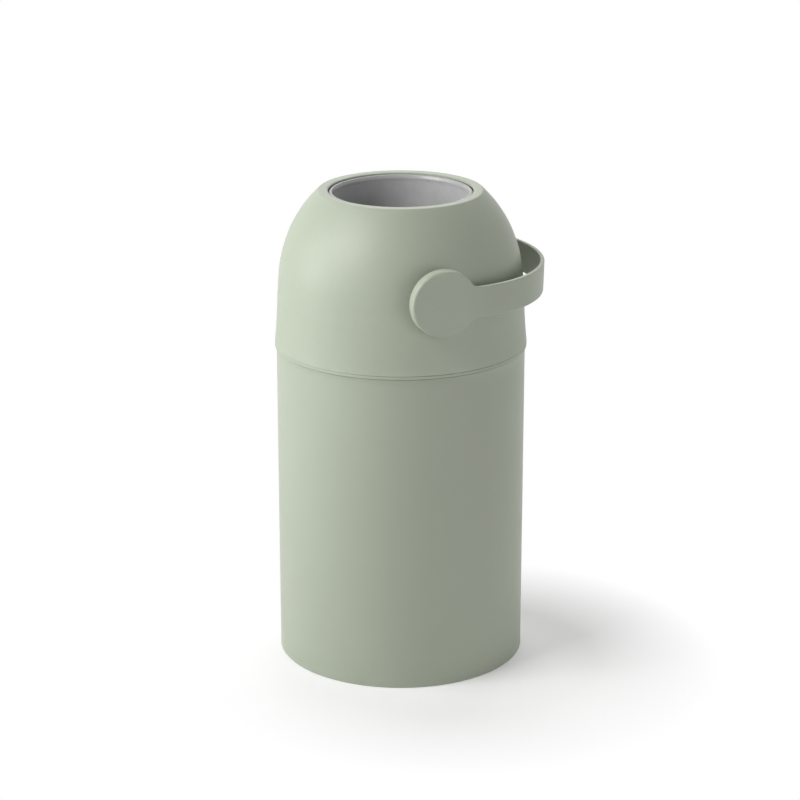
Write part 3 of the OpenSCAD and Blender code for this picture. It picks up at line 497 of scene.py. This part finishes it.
def rolled_layer():
    """The hubs' faces and the strap as one closed flat body, in (u, v, d)."""
    upper = rolled_outline()
    loop = upper + [(u, -v, nu, -nv, e) for u, v, nu, nv, e in upper[-2:0:-1]]
    def ring(inset, depth):
        return [(u - nu * inset(e), v - nv * inset(e), depth(e)) for u, v, nu, nv, e in loop]

    rings = [ring(lambda e: e + SUPPORT, lambda e: 0.0)]
    for k in range(7):
        t = math.radians(15 * k)
        rings.append(ring(lambda e: e * (1 - math.sin(t)), lambda e: e * (1 - math.cos(t))))
    for k in range(5):
        t = math.radians(22.5 * k)
        rings.append(ring(lambda e: BACK_EDGE * (1 - math.cos(t)),
                          lambda e: STRAP_T - BACK_EDGE * (1 - math.sin(t))))
    rings.append(ring(lambda e: BACK_EDGE + SUPPORT, lambda e: STRAP_T))
    bm = bmesh.new()
    made = [[bm.verts.new(p) for p in ring] for ring in rings]
    count = len(loop)
    for a, b in zip(made, made[1:]):
        for i in range(count):
            bm.faces.new((a[i], a[(i + 1) % count], b[(i + 1) % count], b[i]))
    bm.faces.new(made[0][::-1])
    bm.faces.new(made[-1])
    bmesh.ops.recalc_face_normals(bm, faces=bm.faces)
    u = -HUB_R + BEND_START
    while u < ROLLED + HUB_R:
        bmesh.ops.bisect_plane(bm, geom=bm.verts[:] + bm.edges[:] + bm.faces[:], dist=0.01,
                               plane_co=(u, 0, 0), plane_no=(1, 0, 0))
        u += BEND_STEP
    return bm


def roll_up(u, v, d):
    """The place of a flat point once the strap is bent round the head."""
    reach = HUB_FACE - d
    turn = (u - STRAP_STRAIGHT) / HUB_FACE
    if turn <= 0:
        return u, -reach, v
    if turn >= math.pi:
        return ROLLED - u, reach, v
    return STRAP_STRAIGHT + reach * math.sin(turn), -reach * math.cos(turn), v


def hub_body(bm, side):
    """Behind a hub's face: a wall, a core with a socket on the joint's line, and eight ribs."""

    def turned(section, lift=0.0, segments=96):
        rows = []
        for k in range(segments):
            a = 2 * math.pi * k / segments
            rows.append([bm.verts.new((r * math.cos(a), side * (HUB_FACE - d),
                                       lift + r * math.sin(a))) for r, d in section])
        for k in range(segments):
            here, there = rows[k], rows[(k + 1) % segments]
            for i in range(len(section)):
                j = (i + 1) % len(section)
                bm.faces.new((here[i], there[i], there[j], here[j]))

    wall, back, top = HUB_R - 0.02, HUB_T - SOCKET_T, HUB_WALL_TOP
    turned([(wall, top), (wall, HUB_T - 0.6), (wall - 0.18, HUB_T - 0.18), (wall - 0.6, HUB_T),
            (HUB_R - HUB_WALL, HUB_T), (HUB_R - HUB_WALL, top)])
    turned([(CORE_R, CORE_TOP), (CORE_R, HUB_T), (SOCKET_R, HUB_T), (SOCKET_R, back),
            (2.6, back), (2.6, CORE_TOP)], HANDLE_DROP)
    for k in range(8):
        a = math.radians(22.5 + 45 * k)
        along, across = (math.cos(a), math.sin(a)), (-math.sin(a), math.cos(a))
        corners = []
        for d in (CORE_TOP, HUB_T):
            for r, t in ((13.0, -0.8), (32.3, -0.8), (32.3, 0.8), (13.0, 0.8)):
                corners.append(bm.verts.new((r * along[0] + t * across[0], side * (HUB_FACE - d),
                                             r * along[1] + t * across[1])))
        for quad in ((0, 1, 2, 3), (7, 6, 5, 4), (0, 4, 5, 1), (1, 5, 6, 2), (2, 6, 7, 3),
                     (3, 7, 4, 0)):
            bm.faces.new([corners[q] for q in quad])


def build_handle():
    """The handle's mesh: the flat layer rolled up, the hubs' backs, and the strap's droop."""
    bm = rolled_layer()
    for vert in bm.verts:
        vert.co = roll_up(*vert.co)
    for side in (-1, 1):
        hub_body(bm, side)
    c, s = math.cos(HANDLE_DROOP), math.sin(HANDLE_DROOP)
    for vert in bm.verts:
        x, y, z = vert.co
        vert.co = ((x * c + z * s) * MM, y * MM, (PIVOT_Z - HANDLE_DROP - x * s + z * c) * MM)
    bmesh.ops.recalc_face_normals(bm, faces=bm.faces)
    mesh = bpy.data.meshes.new("handle")
    bm.to_mesh(mesh)
    bm.free()
    return mesh


stand_in("handle", build_handle())

# ---------------------------------------------------------------- floor, light and camera

FOCAL_PX = 2610.9
AZIMUTH = math.radians(-18.4)
DISTANCE = 2.660
HEIGHT = 1.1534
PITCH = math.radians(18.237)


def round_the_bin(turn_deg, distance, height):
    """A place seen from the bin at an angle from the camera's side, counted to the right."""
    a = AZIMUTH + math.radians(turn_deg)
    return Vector((distance * math.sin(a), -distance * math.cos(a), height))


camera_data = bpy.data.cameras.new("camera")
camera_data.lens = 117.49
camera_data.sensor_width = 36.0
camera = bpy.data.objects.new("camera", camera_data)
camera.location = round_the_bin(0, DISTANCE, HEIGHT)
camera.rotation_euler = (math.pi / 2 - PITCH + 0.5 / FOCAL_PX, 0, AZIMUTH + 0.78 / FOCAL_PX)
bpy.context.scene.collection.objects.link(camera)
bpy.context.scene.camera = camera


# Square lamps: name, angle round the bin, horizontal distance, height and power
LAMP_SIDE, AIM = 1.0, Vector((0, 0, 0.26))
LAMPS = (("key", -60, 1.455, 1.481, 23.2), ("side", -85, 1.835, 0.752, 13.4),
         ("fill", 50, 1.893, 0.426, 7.8), ("rim", 100, 1.722, 1.063, 2.0),
         ("back", 172, 1.221, 1.716, 12.0))
for name, turn_deg, distance, height, power in LAMPS:
    data = bpy.data.lights.new(name, "AREA")
    data.shape = "RECTANGLE"
    data.size, data.size_y = LAMP_SIDE, LAMP_SIDE
    data.energy = power
    lamp = bpy.data.objects.new(name, data)
    lamp.location = round_the_bin(turn_deg, distance, height)
    lamp.rotation_euler = (AIM - lamp.location).to_track_quat("-Z", "Y").to_euler()
    bpy.context.scene.collection.objects.link(lamp)

AMBIENT, PAPER_LIFT, FADE_START, FADE_END, FLOOR_HALF = 0.10, 0.25, 0.15, 0.285, 9.0
scene = bpy.context.scene
scene.view_settings.view_transform = "Standard"
world = bpy.data.worlds.new("studio")
scene.world = world
world.use_nodes = True
tree = world.node_tree
tree.nodes.clear()
path = tree.nodes.new("ShaderNodeLightPath")
seen = tree.nodes.new("ShaderNodeMath")
seen.operation = "MAXIMUM"
tree.links.new(path.outputs["Is Camera Ray"], seen.inputs[0])
gloss = tree.nodes.new("ShaderNodeMath")
gloss.operation = "MAXIMUM"
tree.links.new(path.outputs["Is Glossy Ray"], gloss.inputs[0])
tree.links.new(path.outputs["Is Transmission Ray"], gloss.inputs[1])
tree.links.new(gloss.outputs[0], seen.inputs[1])
ambient = tree.nodes.new("ShaderNodeBackground")
ambient.inputs["Strength"].default_value = AMBIENT
white = tree.nodes.new("ShaderNodeBackground")
white.inputs["Strength"].default_value = 1.0
for shader in (ambient, white):
    shader.inputs["Color"].default_value = (1, 1, 1, 1)
choose = tree.nodes.new("ShaderNodeMixShader")
tree.links.new(seen.outputs[0], choose.inputs[0])
tree.links.new(ambient.outputs[0], choose.inputs[1])
tree.links.new(white.outputs[0], choose.inputs[2])
world_out = tree.nodes.new("ShaderNodeOutputWorld")
tree.links.new(choose.outputs[0], world_out.inputs[0])


def floor_material():
    """White paper: a diffuse part that keeps the shadow near the bin, lifted to white where it is
    seen, and further out painted pure white, which paints out the shadow there.
    """
    t = Tree("white_floor")
    path = t.nodes.new("ShaderNodeLightPath").outputs
    bounced = t.math("MAXIMUM", path["Is Glossy Ray"], path["Is Transmission Ray"])
    seen = t.math("MAXIMUM", path["Is Camera Ray"], bounced)
    # Painted light: away from a point to the front right of the bin the floor fades to pure white
    # between FADE_START and FADE_END, painting out the shadow.
    place = t.nodes.new("ShaderNodeNewGeometry").outputs["Position"]
    length = t.nodes.new("ShaderNodeVectorMath")
    length.operation = "DISTANCE"
    t.links.new(place, length.inputs[0])
    length.inputs[1].default_value = round_the_bin(50, 0.078, 0)
    painted_white_fade = t.spread(length.outputs["Value"], FADE_START, FADE_END)
    paper = t.add("ShaderNodeBsdfDiffuse", Color=(0.8, 0.8, 0.8, 1.0))
    lift = t.add("ShaderNodeEmission", Color=(1, 1, 1, 1))
    t.put(lift, "Strength", t.math("MULTIPLY", seen, PAPER_LIFT))
    near_shader = t.nodes.new("ShaderNodeAddShader")
    t.links.new(paper.outputs[0], near_shader.inputs[0])
    t.links.new(lift.outputs[0], near_shader.inputs[1])
    painted_white = t.add("ShaderNodeEmission", Color=(1, 1, 1, 1), Strength=1.0)
    mix = t.nodes.new("ShaderNodeMixShader")
    t.put(mix, "i0", t.math("MULTIPLY", painted_white_fade, seen))
    t.links.new(near_shader.outputs[0], mix.inputs[1])
    t.links.new(painted_white.outputs[0], mix.inputs[2])
    out = t.nodes.new("ShaderNodeOutputMaterial")
    t.links.new(mix.outputs[0], out.inputs[0])
    return t.material


floor_mesh = bpy.data.meshes.new("floor")
corners = [(x * FLOOR_HALF, y * FLOOR_HALF, 0) for x, y in ((-1, -1), (1, -1), (1, 1), (-1, 1))]
floor_mesh.from_pydata(corners, [], [(0, 1, 2, 3)])
floor = bpy.data.objects.new("floor", floor_mesh)
bpy.context.scene.collection.objects.link(floor)
floor.data.materials.append(floor_material())
